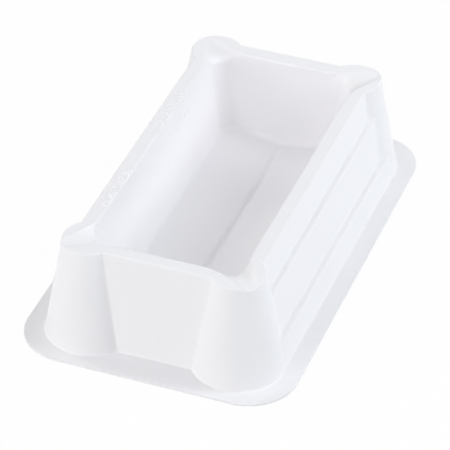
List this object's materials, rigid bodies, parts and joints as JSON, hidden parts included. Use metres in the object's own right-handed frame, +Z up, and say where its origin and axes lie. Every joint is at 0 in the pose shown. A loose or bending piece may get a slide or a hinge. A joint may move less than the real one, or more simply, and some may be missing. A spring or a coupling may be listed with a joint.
{
  "type": "reagent reservoir",
  "caption": "Open trough formed from one thin white sheet, with a sloped floor, corner pour spouts, stepped sides and a flat flange to stand on.",
  "frame": {"origin": "middle of the flange's underside, the plane that the reservoir stands on", "axes": "+X along the trough, +Y across it, +Z up out of its mouth"},
  "size_m": [0.144, 0.0874, 0.0346],
  "materials": {
    "white_sheet": "semi-gloss white polystyrene sheet"
  },
  "bodies": {
    "root": {"reservoir": "white_sheet"}
  },
  "joints": []
}
